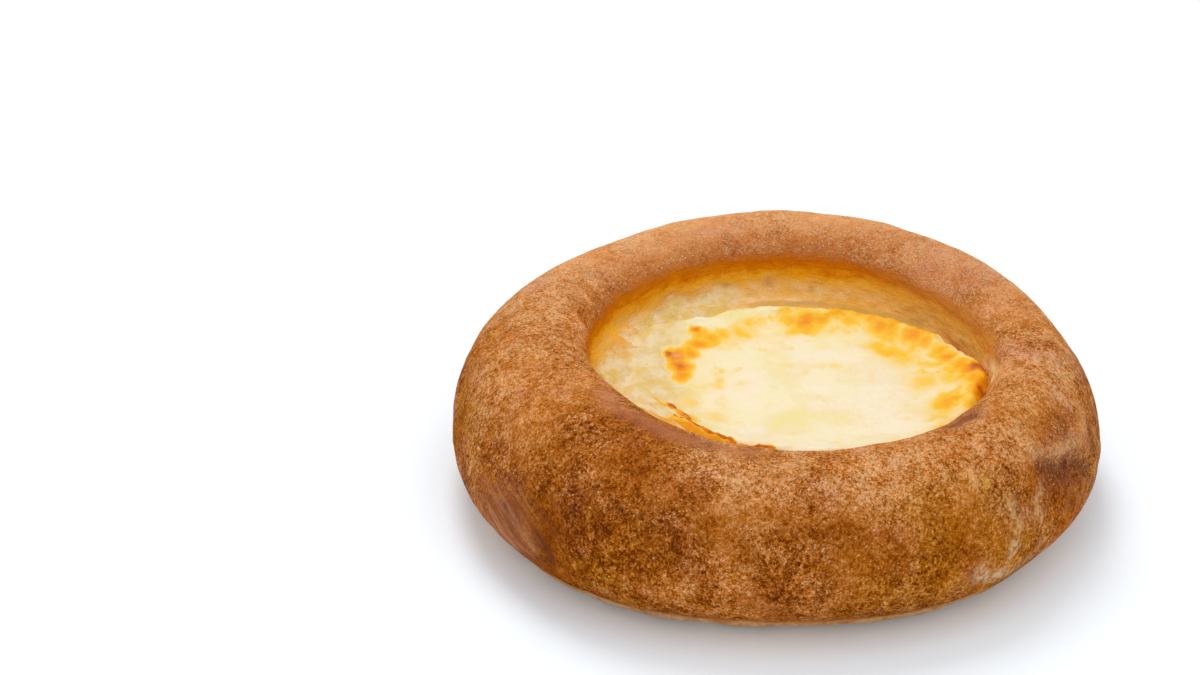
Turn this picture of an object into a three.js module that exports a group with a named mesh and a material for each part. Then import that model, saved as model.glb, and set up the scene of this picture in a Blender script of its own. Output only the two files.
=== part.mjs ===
// A round open curd bun: a thick ring of risen yeast dough with a thin dough floor,
// pressed down in the middle by hand, and a baked curd filling seated in the hollow.
// Millimetres, +Z up. The flat of the base lies on z = 0, under the middle of the bun.
import * as THREE from "three";
import { mergeVertices } from "three/addons/utils/BufferGeometryUtils.js";

// Driving dimensions of the dough, each ring of it as a radius and a height
const rimRadius = 56; // the belly of the rim, its widest ring
const rimHeight = 11.4;
const footRadius = 40.2; // the flat that the bun was baked on
const crestRadius = 42.8; // the top of the rim
const crestHeight = 30.4;
const brimRadius = 35; // where the browned crust has turned down into the opening
const brimHeight = 23.2;
const wellRadius = 27.6; // the pressed hollow that holds the filling
const wellCorner = 5;
const ledgeHeight = 19; // the pale dough between the wall of the opening and the filling
const wallLean = 1.5; // how far the foot of that wall comes inward
const floorThickness = 8;

// How full the rim swells between those rings: more than an ellipse is squarer
const ellipse = 2;
const outsideFullness = 1.9;
const insideFullness = 2.4;

// The opening was pressed a little off centre, and the filling lies further over and is slightly oval
const openingOffset = new THREE.Vector2(2.7, 0.3);
const fillingOffset = new THREE.Vector2(8.5, -0.7);
const fillingOval = new THREE.Vector2(1.03, 0.98);

// Driving dimensions of the filling
const gap = 0.35; // between the filling and the dough, all round
const lipWidth = 2.2; // the raised, browned edge of the filling rounds over in this
const lipHeight = 22;
const troughRadius = 17; // inside the lip the top sinks
const troughHeight = 20.2;
const middleHeight = 20.6; // and swells again a little in the middle

const rimSteps = 96; // facets round the bun
const fillingSteps = 72;
const quarterSteps = 9; // facets in a quarter of the rim's section
const cornerSteps = 4;
const curveSteps = 5;

// Where the hands and the oven left the ring uneven. An angle is seen from above, 0 the right and 90 the far
// side; the dough there moves outward and up, and all within the reach goes with it by a falling share.
const bellyPlace = { radius: 54, up: 14, reach: 40 };
const bellyPushes = [
  { angle: 0, out: 1.7 },
  { angle: 45, out: -0.9 },
  { angle: 180, out: 0.4 },
  { angle: 225, out: 1.2 },
  { angle: 270, out: -1.9 },
  { angle: 315, out: 0.5 },
];
const crestPlace = { radius: 45, up: 31, reach: 34 };
const crestPushes = [
  { angle: 0, out: -1.7, lift: -1.4 },
  { angle: 50, out: -0.5, lift: 0.9 },
  { angle: 90, out: 0.4, lift: 0.6 },
  { angle: 130, out: -0.3, lift: -0.7 },
  { angle: 215, out: -1.1, lift: 1.0 },
  { angle: 270, out: 0.5, lift: -1.0 },
  { angle: 315, out: 0, lift: -0.4 },
];
const ledgePlace = { radius: 26, up: 20, reach: 18 };
const ledgePushes = [
  { angle: 160, out: 0, lift: 1.2 },
  { angle: 215, out: 0, lift: 2 },
];

// The filling's edge crisped and curled up in some places, seen from the filling's own middle
const lipPeaks = [
  { angle: 0, lift: 1.4, reach: 13 },
  { angle: 80, lift: 0.4, reach: 18 },
  { angle: 148, lift: 0.5, reach: 9 },
  { angle: 175, lift: -1.8, reach: 14 },
  { angle: 215, lift: -1.6, reach: 16 },
  { angle: 210, lift: 0.8, reach: 6 },
];
const lumpHeight = 0.2; // the gentle lumps of the curd
const lumpLength = 3.3;

const doughColour = 0xa8662f;
const curdColour = 0xf6e3b4;

// A smooth step from 0 to 1 as t goes from 0 to 1
function smooth(t) {
  const c = THREE.MathUtils.clamp(t, 0, 1);
  return c * c * (3 - 2 * c);
}

// A quarter of a rounded section, round the middle given, turning from the angle for 90 degrees.
// Its start is left to the point before it.
function quarter(middle, size, from, turn, fullness, steps) {
  const points = [];
  for (let i = 1; i <= steps; i++) {
    const angle = THREE.MathUtils.degToRad(from + (turn * 90 * i) / steps);
    const c = Math.cos(angle);
    const s = Math.sin(angle);
    const x = Math.sign(c) * Math.abs(c) ** (2 / fullness);
    const y = Math.sign(s) * Math.abs(s) ** (2 / fullness);
    points.push(new THREE.Vector2(middle.x + size.x * x, middle.y + size.y * y));
  }
  return points;
}

// A smooth bend from one point to another, pulled toward a third
function bend(from, toward, to) {
  return new THREE.QuadraticBezierCurve(from, toward, to).getPoints(curveSteps).slice(1);
}

// Half a section turned into a solid about +Z
function turned(section, steps) {
  const lathe = new THREE.LatheGeometry(section, steps);
  lathe.rotateX(Math.PI / 2);
  lathe.deleteAttribute("normal");
  lathe.deleteAttribute("uv");
  const solid = mergeVertices(lathe, 1e-4);
  const corners = solid.getIndex().array;
  const kept = [];
  for (let i = 0; i < corners.length; i += 3) {
    const [a, b, c] = corners.subarray(i, i + 3);
    if (a !== b && b !== c && c !== a) kept.push(a, b, c);
  }
  solid.setIndex(kept);
  return solid;
}

// Moves each point of a solid by what the function gives for it
function reshape(solid, change) {
  const place = solid.getAttribute("position");
  const point = new THREE.Vector3();
  for (let i = 0; i < place.count; i++) {
    point.fromBufferAttribute(place, i);
    change(point);
    place.setXYZ(i, point.x, point.y, point.z);
  }
  return solid;
}

// The pushes of one kind, one after another. The flat foot stays flat.
function push(point, place, pushes) {
  for (const { angle, out, lift = 0 } of pushes) {
    const outward = new THREE.Vector3(1, 0, 0).applyAxisAngle(
      new THREE.Vector3(0, 0, 1),
      THREE.MathUtils.degToRad(angle),
    );
    const centre = outward.clone().multiplyScalar(place.radius).setZ(place.up);
    const share = smooth(1 - point.distanceTo(centre) / place.reach);
    const rise = share * lift * smooth(point.z / rimHeight);
    point.addScaledVector(outward, share * out);
    point.z += rise;
  }
}

// The same for the dough and for the filling that it holds
function handShaped(point) {
  push(point, bellyPlace, bellyPushes);
  push(point, crestPlace, crestPushes);
  push(point, ledgePlace, ledgePushes);
}

// Half the section of the dough: along the foot, round the rim, down into the opening and over the hollow's floor
function doughSection() {
  const brim = new THREE.Vector2(brimRadius, brimHeight);
  const wellEdge = new THREE.Vector2(wellRadius, ledgeHeight);
  const wallFoot = new THREE.Vector2(brimRadius - wallLean, ledgeHeight);
  return [
    new THREE.Vector2(0, 0),
    new THREE.Vector2(footRadius, 0),
    ...quarter(
      new THREE.Vector2(footRadius, rimHeight),
      new THREE.Vector2(rimRadius - footRadius, rimHeight),
      -90,
      1,
      ellipse,
      quarterSteps,
    ),
    ...quarter(
      new THREE.Vector2(crestRadius, rimHeight),
      new THREE.Vector2(rimRadius - crestRadius, crestHeight - rimHeight),
      0,
      1,
      outsideFullness,
      quarterSteps,
    ),
    ...quarter(
      new THREE.Vector2(crestRadius, brimHeight),
      new THREE.Vector2(crestRadius - brimRadius, crestHeight - brimHeight),
      90,
      1,
      insideFullness,
      quarterSteps,
    ),
    ...bend(brim, wallFoot, wellEdge),
    new THREE.Vector2(wellRadius, floorThickness + wellCorner),
    ...quarter(
      new THREE.Vector2(wellRadius - wellCorner, floorThickness + wellCorner),
      new THREE.Vector2(wellCorner, wellCorner),
      0,
      -1,
      ellipse,
      cornerSteps,
    ),
    new THREE.Vector2(0, floorThickness),
  ];
}

// Slides the inside of the ring over, more and more toward the hollow, which is also pressed oval
function pressedOffCentre(point) {
  const radius = Math.hypot(point.x, point.y);
  if (point.z < floorThickness || (radius > crestRadius && point.z < rimHeight)) return;
  const inOpening = smooth((rimRadius - radius) / (rimRadius - brimRadius));
  const inWell = smooth((brimRadius - radius) / (brimRadius - wellRadius));
  point.x *= THREE.MathUtils.lerp(1, fillingOval.x, inWell);
  point.y *= THREE.MathUtils.lerp(1, fillingOval.y, inWell);
  point.x += THREE.MathUtils.lerp(inOpening * openingOffset.x, fillingOffset.x, inWell);
  point.y += THREE.MathUtils.lerp(inOpening * openingOffset.y, fillingOffset.y, inWell);
}

// Half the section of the filling: its underside and side follow the hollow, and its top sinks inside the lip
function fillingSection() {
  const under = floorThickness + gap;
  const side = wellRadius - gap;
  const lip = side - lipWidth;
  const lipTop = new THREE.Vector2(lip, lipHeight);
  const trough = new THREE.Vector2(troughRadius, troughHeight);
  const slope = new THREE.Vector2((lip + troughRadius) / 2, troughHeight);
  const middle = new THREE.Vector2(0, middleHeight);
  const swell = new THREE.Vector2(troughRadius / 2, middleHeight);
  return [
    new THREE.Vector2(0, under),
    ...quarter(
      new THREE.Vector2(side - wellCorner, under + wellCorner),
      new THREE.Vector2(wellCorner, wellCorner),
      -90,
      1,
      ellipse,
      cornerSteps,
    ),
    new THREE.Vector2(side, ledgeHeight),
    ...quarter(
      new THREE.Vector2(lip, ledgeHeight),
      new THREE.Vector2(lipWidth, lipHeight - ledgeHeight),
      0,
      1,
      ellipse,
      cornerSteps,
    ),
    ...bend(lipTop, slope, trough),
    ...bend(trough, swell, middle),
  ];
}

// The uneven top of the filling
function baked(point) {
  const onTop = smooth((point.z - ledgeHeight) / (troughHeight - ledgeHeight));
  for (const { angle, lift, reach } of lipPeaks) {
    const peak = new THREE.Vector2(wellRadius - lipWidth, 0).rotateAround(
      new THREE.Vector2(0, 0),
      THREE.MathUtils.degToRad(angle),
    );
    const away = Math.hypot(point.x - peak.x, point.y - peak.y);
    point.z += onTop * lift * smooth(1 - away / reach);
  }
  point.z += onTop * lumpHeight * Math.sin(point.x / lumpLength) * Math.cos(point.y / lumpLength);
}

function piece(name, geometry, color, roughness) {
  geometry.computeVertexNormals();
  const material = new THREE.MeshStandardMaterial({ color, roughness, metalness: 0 });
  const mesh = new THREE.Mesh(geometry, material);
  mesh.name = name;
  return mesh;
}

const dough = turned(doughSection(), rimSteps);
reshape(dough, pressedOffCentre);
reshape(dough, handShaped);

const filling = turned(fillingSection(), fillingSteps);
reshape(filling, baked);
filling.scale(fillingOval.x, fillingOval.y, 1);
filling.translate(fillingOffset.x, fillingOffset.y, 0);
reshape(filling, handShaped);

const bun = new THREE.Group();
bun.add(piece("dough_ring", dough, doughColour, 0.6));
bun.add(piece("curd_filling", filling, curdColour, 0.45));

// The origin is under the middle of the finished outline
const middle = new THREE.Box3().setFromObject(bun).getCenter(new THREE.Vector3());
for (const mesh of bun.children) mesh.geometry.translate(-middle.x, -middle.y, 0);

export default bun;
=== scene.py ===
import math

import bpy
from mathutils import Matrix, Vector
from mathutils.geometry import intersect_point_line


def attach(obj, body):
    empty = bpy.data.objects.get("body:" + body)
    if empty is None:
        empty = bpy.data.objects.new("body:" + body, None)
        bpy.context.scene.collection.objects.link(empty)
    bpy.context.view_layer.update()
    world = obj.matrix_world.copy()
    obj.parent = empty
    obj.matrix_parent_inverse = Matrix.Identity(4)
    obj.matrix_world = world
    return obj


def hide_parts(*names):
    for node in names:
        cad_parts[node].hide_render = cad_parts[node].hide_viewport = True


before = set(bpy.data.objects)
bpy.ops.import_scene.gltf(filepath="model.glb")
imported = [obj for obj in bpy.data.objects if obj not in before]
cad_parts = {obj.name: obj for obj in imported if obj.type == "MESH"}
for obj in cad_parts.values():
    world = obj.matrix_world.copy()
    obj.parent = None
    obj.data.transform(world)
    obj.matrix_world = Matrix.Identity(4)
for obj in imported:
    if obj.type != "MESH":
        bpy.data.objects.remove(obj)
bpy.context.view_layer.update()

# Studio
# A plain white shooting table, lit softly from above and a little behind, that itself glows faintly as
# painted light from below, and a camera that looks down on the bun from the front. The bun stands to the
# right in the frame.
table_size = 4.0
table_finish = {
    "Base Color": (0.92, 0.96, 1.00, 1),
    "Roughness": 0.7,
    "Specular IOR Level": 0.2,
    # The table's own faint glow is painted light from below
    "Emission Color": (0.70, 1.00, 1.20, 1),
    "Emission Strength": 0.08,
}
camera_place = (-0.0308, -0.4300, 0.2647)
camera_pitch = math.radians(28.81)
camera_lens = 85
camera_film = 36
lights = {
    "main_light": {"place": (-0.15, 0.42, 0.88), "across": 0.45, "watts": 3.2},
    "front_softbox": {"place": (0.05, -0.40, 1.00), "across": 1.40, "watts": 4.0},
}
sky_white = (1, 1, 1, 1)
sky_strength = 0.58


def connect(socket, value):
    """Links a socket to an output, or gives it a value."""
    if isinstance(value, bpy.types.NodeSocket):
        socket.id_data.links.new(value, socket)
    else:
        socket.default_value = value


def material(name, finish):
    """A node material with a plain finish, as its tree, its Principled shader and itself."""
    made = bpy.data.materials.new(name)
    made.use_nodes = True
    shader = made.node_tree.nodes["Principled BSDF"]
    for label, value in finish.items():
        connect(shader.inputs[label], value)
    return made.node_tree, shader, made


def finish_mesh(piece, look):
    """Gives a finished piece its one material and smooth shading."""
    piece.data.materials.clear()
    piece.data.materials.append(look)
    for face in piece.data.polygons:
        face.use_smooth = True


bpy.ops.object.select_all(action="DESELECT")
bpy.ops.mesh.primitive_plane_add(size=table_size)
table = bpy.context.object
table.name = "tabletop"
_, _, table_look = material("glowing_white_tabletop", table_finish)
finish_mesh(table, table_look)

for name, light in lights.items():
    bpy.ops.object.light_add(type="AREA", location=light["place"])
    lamp = bpy.context.object
    lamp.name = name
    lamp.data.shape = "DISK"
    lamp.data.size = light["across"]
    lamp.data.energy = light["watts"]
    lamp.rotation_euler = (-Vector(light["place"])).to_track_quat("-Z", "Y").to_euler()

sky = bpy.data.worlds.new("white_room")
sky.use_nodes = True
sky.node_tree.nodes["Background"].inputs["Color"].default_value = sky_white
sky.node_tree.nodes["Background"].inputs["Strength"].default_value = sky_strength
bpy.context.scene.world = sky
bpy.context.scene.view_settings.view_transform = "Standard"

bpy.ops.object.camera_add(location=camera_place, rotation=(math.pi / 2 - camera_pitch, 0, 0))
camera = bpy.context.object
camera.data.lens = camera_lens
camera.data.sensor_width = camera_film
bpy.context.scene.camera = camera

# Dough ring
# Risen yeast dough, pressed down in the middle by hand so that a thick ring stands round a hollow, and baked
# on a flat sheet. The crust is brown and stippled; the wall of the opening stayed pale.
ring_middle = Vector((-0.00044, -0.00091, 0))
foot_radius = 0.0402
rim = {"radius": 0.0560, "height": 0.0114}
crest = {"radius": 0.0428, "height": 0.0304}
brim = {"radius": 0.0350, "height": 0.0232}
well = {"radius": 0.0276, "corner": 0.0050, "floor": 0.0080, "oval": (1.03, 0.98)}
ledge_height = 0.0190
wall_lean = 0.0015
opening_shift = Vector((0.0027, 0.0003, 0))
well_shift = Vector((0.0085, -0.0007, 0))
ellipse = 2
outside_fullness = 1.9
inside_fullness = 2.4
ring_steps = 120
quarter_steps = 9
wall_steps = 5
corner_steps = 3


def quarter(middle, size, start, turn=1, fullness=ellipse, steps=quarter_steps):
    """Points of a quarter of a rounded section as (radius, height), from an angle on, without its first."""
    points = []
    for i in range(1, steps + 1):
        angle = math.radians(start + turn * 90 * i / steps)
        c, s = math.cos(angle), math.sin(angle)
        out = math.copysign(abs(c) ** (2 / fullness), c)
        up = math.copysign(abs(s) ** (2 / fullness), s)
        points.append((middle[0] + size[0] * out, middle[1] + size[1] * up))
    return points


def bend(start, toward, end, steps):
    """Points of a smooth bend as (radius, height), without its first."""
    points = []
    for i in range(1, steps + 1):
        t = i / steps
        shares = ((1 - t) ** 2, 2 * t * (1 - t), t**2)
        points.append(tuple(sum(w * p[k] for w, p in zip(shares, (start, toward, end))) for k in (0, 1)))
    return points


def smooth_step(t):
    t = min(max(t, 0), 1)
    return t * t * (3 - 2 * t)


def outward(angle):
    """The direction from the middle at an angle seen from above, 0 the right and 90 the far side."""
    return Vector((math.cos(math.radians(angle)), math.sin(math.radians(angle)), 0))


def start_disc(name, middle, radius, steps):
    """A disc in edit mode, selected all over, from which the rings of a piece are drawn up."""
    bpy.ops.object.select_all(action="DESELECT")
    bpy.ops.mesh.primitive_circle_add(vertices=steps, radius=radius, fill_type="NGON", location=middle)
    piece = bpy.context.object
    piece.name = name
    bpy.ops.object.transform_apply(location=True)
    bpy.ops.object.mode_set(mode="EDIT")
    bpy.ops.mesh.select_all(action="SELECT")
    return piece


def extrude_rings(middle, start_radius, rings):
    """Draws the selected disc on through rings of (radius, height, shift from the middle)."""
    radius, height, shift = start_radius, 0, Vector((0, 0, 0))
    for new_radius, new_height, new_shift in rings:
        move = new_shift - shift + Vector((0, 0, new_height - height))
        bpy.ops.mesh.extrude_region_move(TRANSFORM_OT_translate={"value": move})
        bpy.ops.transform.resize(
            value=(new_radius / radius, new_radius / radius, 1),
            center_override=middle + new_shift + Vector((0, 0, new_height)),
        )
        radius, height, shift = new_radius, new_height, new_shift


# Smaller shares and moves than these are left out
least_share = 0.001
least_move = 1e-7


def weigh(piece, name, share_at):
    """A vertex group that holds each point by the share that the function gives for its place."""
    group = piece.vertex_groups.new(name=name)
    for vertex in piece.data.vertices:
        weight = share_at(vertex.co)
        if weight > least_share:
            group.add([vertex.index], min(weight, 1), "REPLACE")
    return name


def displace(piece, strength, group=None, direction="NORMAL", texture=None):
    """Moves the points of a piece along a direction, by a texture where there is one, and applies it."""
    modifier = piece.modifiers.new("relief", "DISPLACE")
    modifier.strength = strength
    modifier.direction = direction
    modifier.texture_coords = "LOCAL"
    modifier.mid_level = 0.5 if texture else 0
    if texture:
        modifier.texture = texture
    if group:
        modifier.vertex_group = group
    bpy.ops.object.modifier_apply(modifier=modifier.name)


def push(piece, place, move, reach):
    """Pushes a piece at a place, and all within the reach goes with it by a falling share."""
    beside = weigh(piece, "pushed", lambda point: smooth_step(1 - (point - place).length / reach))
    above = weigh(
        piece,
        "lifted",
        lambda point: smooth_step(1 - (point - place).length / reach) * smooth_step(point.z / rim["height"]),
    )
    for direction, group, amount in (("X", beside, move.x), ("Y", beside, move.y), ("Z", above, move.z)):
        if abs(amount) > least_move:
            displace(piece, amount, group, direction)
    piece.vertex_groups.clear()


def lumps(name, grain, depth):
    """A cloudy texture whose lumps are about as far apart as the grain."""
    texture = bpy.data.textures.new(name, "CLOUDS")
    texture.noise_scale = grain
    texture.noise_depth = depth
    texture.noise_basis = "IMPROVED_PERLIN"
    return texture


section = quarter((foot_radius, rim["height"]), (rim["radius"] - foot_radius, rim["height"]), -90)
section += quarter(
    (crest["radius"], rim["height"]),
    (rim["radius"] - crest["radius"], crest["height"] - rim["height"]),
    0,
    fullness=outside_fullness,
)
section += quarter(
    (crest["radius"], brim["height"]),
    (crest["radius"] - brim["radius"], crest["height"] - brim["height"]),
    90,
    fullness=inside_fullness,
)
wall_foot = (brim["radius"] - wall_lean, ledge_height)
section += bend(section[-1], wall_foot, (well["radius"], ledge_height), wall_steps)
section += [(well["radius"], well["floor"] + well["corner"])]
section += quarter(
    (well["radius"] - well["corner"], well["floor"] + well["corner"]),
    (well["corner"], well["corner"]),
    0,
    turn=-1,
    steps=corner_steps,
)
rings = []
for i, (radius, height) in enumerate(section):
    in_opening = smooth_step((rim["radius"] - radius) / (rim["radius"] - brim["radius"]))
    in_well = smooth_step((brim["radius"] - radius) / (brim["radius"] - well["radius"]))
    shift = (opening_shift * in_opening).lerp(well_shift, in_well)
    rings.append((radius, height, shift if i >= quarter_steps else Vector((0, 0, 0))))

dough = start_disc("browned_dough", ring_middle, foot_radius, ring_steps)
extrude_rings(ring_middle, foot_radius, rings)
bpy.ops.object.mode_set(mode="OBJECT")

# Where the hands and the oven left the ring uneven: at each angle the dough went out and up by millimetres
belly_place = {"radius": 0.054, "up": 0.014, "reach": 0.040}
belly_pushes = {0: (1.7, 0), 45: (-0.9, 0), 180: (0.4, 0), 225: (1.2, 0), 270: (-1.9, 0), 315: (0.5, 0)}
crest_place = {"radius": 0.045, "up": 0.031, "reach": 0.034}
crest_pushes = {
    0: (-1.7, -1.4),
    50: (-0.5, 0.9),
    90: (0.4, 0.6),
    130: (-0.3, -0.7),
    215: (-1.1, 1.0),
    270: (0.5, -1.0),
    315: (0, -0.4),
}
ledge_place = {"radius": 0.026, "up": 0.020, "reach": 0.018}
ledge_pushes = {160: (0, 1.2), 215: (0, 2.0)}


def shape_by_hand(piece):
    """All the pushes, the same for the dough and for the filling that it holds."""
    for place, pushes in (
        (belly_place, belly_pushes),
        (crest_place, crest_pushes),
        (ledge_place, ledge_pushes),
    ):
        for angle, (out, lift) in pushes.items():
            centre = ring_middle + outward(angle) * place["radius"] + Vector((0, 0, place["up"]))
            push(piece, centre, (outward(angle) * out + Vector((0, 0, lift))) / 1000, place["reach"])


def smooth_mesh(piece):
    """Divides each face of the active piece into 16, rounded, and applies that."""
    smoothing = piece.modifiers.new("smoothing", "SUBSURF")
    smoothing.levels = smoothing.render_levels = 2
    smoothing.use_limit_surface = False
    bpy.ops.object.modifier_apply(modifier=smoothing.name)


shape_by_hand(dough)
smooth_mesh(dough)

# The relief of the crust, of the torn wall of the opening and of the curd smeared over its left ledge. The
# grain of a relief is how far apart its lumps are, and its depth how often finer ones are laid over them.
opening_middle = ring_middle + opening_shift
opening_reach = 0.0385
crust_start = 0.0030
wall_band = {"foot": 0.0160, "top": 0.0260, "fade": 0.0020}
crust_relief = (
    {"grain": 0.0150, "depth": 1, "height": 0.0010},
    {"grain": 0.0040, "depth": 2, "height": 0.00035},
)
wall_relief = {"grain": 0.0026, "depth": 3, "height": 0.0014}
curdy_ledge = {"top": 0.0225, "top_fade": 0.0010, "left": 0.0040, "left_fade": 0.0080}
curd_relief = {"grain": 0.0034, "depth": 3, "height": 0.0030}
# The thin edge of the base, where the dough spread a little on the sheet
foot_rim = {"up": 0.0023, "width": 0.0008, "out": 0.0007}
foot_rim_relief = {"grain": 0.0060, "depth": 2, "height": 0.0008}
# Lines of places on the crust
lines = {
    "fold_ridge": (
        (0.0391, -0.0333, 0.0261),
        (0.0409, -0.0330, 0.0246),
        (0.0426, -0.0319, 0.0234),
        (0.0444, -0.0300, 0.0226),
        (0.0461, -0.0278, 0.0218),
        (0.0478, -0.0253, 0.0215),
        (0.0492, -0.0225, 0.0214),
        (0.0501, -0.0195, 0.0217),
        (0.0503, -0.0170, 0.0226),
    ),
    "fold_groove": (
        (0.0416, -0.0334, 0.0230),
        (0.0427, -0.0328, 0.0220),
        (0.0443, -0.0313, 0.0210),
        (0.0460, -0.0293, 0.0201),
        (0.0477, -0.0272, 0.0192),
        (0.0495, -0.0249, 0.0179),
        (0.0511, -0.0226, 0.0160),
        (0.0527, -0.0205, 0.0137),
    ),
    "fold_hollow": ((0.0438, -0.0328, 0.0202), (0.0451, -0.0312, 0.0198), (0.0472, -0.0286, 0.0186)),
    "fold_end": ((0.0519, -0.0213, 0.0159), (0.0530, -0.0198, 0.0135)),
    "brim_notch": (
        (0.0263, -0.0314, 0.0293),
        (0.0276, -0.0305, 0.0292),
        (0.0290, -0.0295, 0.0293),
        (0.0302, -0.0285, 0.0294),
    ),
    "brim_smooth": (
        (-0.0298, -0.0239, 0.0310),
        (-0.0288, -0.0284, 0.0312),
        (-0.0243, -0.0320, 0.0309),
        (-0.0203, -0.0355, 0.0305),
        (-0.0163, -0.0377, 0.0301),
        (-0.0115, -0.0393, 0.0297),
        (-0.0064, -0.0407, 0.0295),
    ),
    "upper_wrinkle": ((-0.0439, -0.0347, 0.0191), (-0.0422, -0.0373, 0.0176), (-0.0407, -0.0396, 0.0164)),
    "middle_wrinkle": (
        (-0.0457, -0.0340, 0.0144),
        (-0.0440, -0.0370, 0.0128),
        (-0.0426, -0.0388, 0.0120),
        (-0.0413, -0.0402, 0.0106),
    ),
    "lower_wrinkle": ((-0.0399, -0.0416, 0.0130), (-0.0383, -0.0433, 0.0111), (-0.0373, -0.0435, 0.0093)),
    "upper_fold": ((-0.0467, -0.0328, 0.0144), (-0.0451, -0.0352, 0.0136), (-0.0443, -0.0364, 0.0132)),
    "lower_fold": ((-0.0413, -0.0401, 0.0133), (-0.0396, -0.0420, 0.0114), (-0.0383, -0.0427, 0.0095)),
    "crust_arc": (
        (0.0453, -0.0005, 0.0286),
        (0.0473, 0.0007, 0.0277),
        (0.0493, 0.0016, 0.0262),
        (0.0503, 0.0008, 0.0253),
    ),
    "fold_flour": ((0.0414, -0.0363, 0.0197), (0.0407, -0.0381, 0.0180), (0.0413, -0.0383, 0.0152)),
    "side_flour": (
        (0.0358, -0.0418, 0.0203),
        (0.0369, -0.0420, 0.0176),
        (0.0368, -0.0428, 0.0152),
        (0.0362, -0.0437, 0.0129),
    ),
    "foot_flour": ((0.0342, -0.0449, 0.0090), (0.0389, -0.0404, 0.0082), (0.0427, -0.0373, 0.0114)),
    "side_dust": ((0.0364, -0.0435, 0.0130), (0.0356, -0.0443, 0.0121)),
    "foot_dust": ((0.0305, -0.0477, 0.0107), (0.0324, -0.0464, 0.0096), (0.0342, -0.0449, 0.0090)),
}
# The lines along which the crust rose (above 0) or sank, each as (width, by how much)
creases = {
    "fold_ridge": (0.0016, 0.0008),
    "fold_groove": (0.0021, -0.0012),
    "fold_hollow": (0.0042, -0.0008),
    "fold_end": (0.0009, -0.0008),
    "brim_notch": (0.0012, -0.0008),
    "upper_wrinkle": (0.0008, 0.0003),
    "middle_wrinkle": (0.0008, 0.0003),
    "lower_wrinkle": (0.0008, 0.0002),
    "upper_fold": (0.0009, -0.0006),
    "lower_fold": (0.0009, -0.0006),
}
# The lines that the colour of the crust follows, each with its width
painted = {
    # Painted shade in the creases, the hollow under the fold and the notch of the brim
    "crease_shade_lines": {
        "fold_groove": 0.0016,
        "fold_hollow": 0.0026,
        "fold_end": 0.0009,
        "brim_notch": 0.0026,
        "upper_fold": 0.0013,
        "lower_fold": 0.0012,
    },
    # Painted highlights along the fold's ridge and a wrinkle, and the light crack of the crust arc
    "ridge_highlight_and_light_lines": {"fold_ridge": 0.0017, "crust_arc": 0.0007, "middle_wrinkle": 0.0006},
    "flour_lines": {"fold_flour": 0.0014, "side_flour": 0.0013, "foot_flour": 0.0010},
    "dusty_lines": {"side_dust": 0.0010, "foot_dust": 0.0016},
    # A painted sheen along the smooth brim, and painted shade at its notch
    "brim_sheen_and_notch_shade": {"brim_smooth": 0.0021, "brim_notch": 0.0024},
}


def near_line(point, line, width):
    """How near a point is to a line of places: 1 on it, falling to 0 at about twice the width.

    A line of places without heights is measured as seen from above.
    """
    if len(line[0]) == 2:
        point = point.to_2d().to_3d()
    places = [Vector(place).to_3d() for place in line]
    middle = places[0].lerp(places[-1], 0.5)
    if (point - middle).length > (places[0] - middle).length + 3 * width:
        return 0
    distances = []
    for start, end in zip(places, places[1:]):
        foot, along = intersect_point_line(point, start, end)
        foot = start.lerp(end, min(max(along, 0), 1))
        distances.append((point - foot).length)
    return math.exp(-((min(distances) / width) ** 2))


def paint(name):
    """Holds on the dough how near each point is to the lines of one name, for its colour to follow."""
    layer = dough.data.attributes.new(name, "FLOAT", "POINT")
    for vertex, value in zip(dough.data.vertices, layer.data):
        value.value = max(near_line(vertex.co, lines[line], width) for line, width in painted[name].items())


def sunk(line, depth):
    """A line of places on the dough as it lies once its crease has moved it in or out."""
    moved = []
    for place in line:
        nearest = min(dough.data.vertices, key=lambda vertex: (vertex.co - Vector(place)).length)
        moved.append(Vector(place) + nearest.normal * depth)
    return moved


def on_crust(point):
    """1 on the crust, 0 on the flat foot."""
    return smooth_step(point.z / crust_start)


def on_wall(point):
    """1 on the torn wall and the ledge of the opening, 0 on the crust and in the hollow under the filling."""
    if (point - opening_middle).to_2d().length >= opening_reach:
        return 0
    below = smooth_step((wall_band["top"] - point.z) / wall_band["fade"])
    return below * smooth_step((point.z - wall_band["foot"]) / wall_band["fade"])


def on_left_ledge(point):
    """1 on the left of the ledge, 0 on the wall above it and further right."""
    below = smooth_step((curdy_ledge["top"] - point.z) / curdy_ledge["top_fade"])
    left = smooth_step((opening_middle.x - curdy_ledge["left"] - point.x) / curdy_ledge["left_fade"])
    return on_wall(point) * below * left


def on_foot_rim(point):
    """1 round the foot at the height of its thin edge, falling to 0 above and below."""
    return math.exp(-(((point.z - foot_rim["up"]) / foot_rim["width"]) ** 2))


def roughen(piece, name, relief, group, direction="NORMAL"):
    """Gives a piece a cloudy relief where a vertex group holds it."""
    texture = lumps(name, relief["grain"], relief["depth"])
    displace(piece, relief["height"], group, direction, texture)


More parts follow.
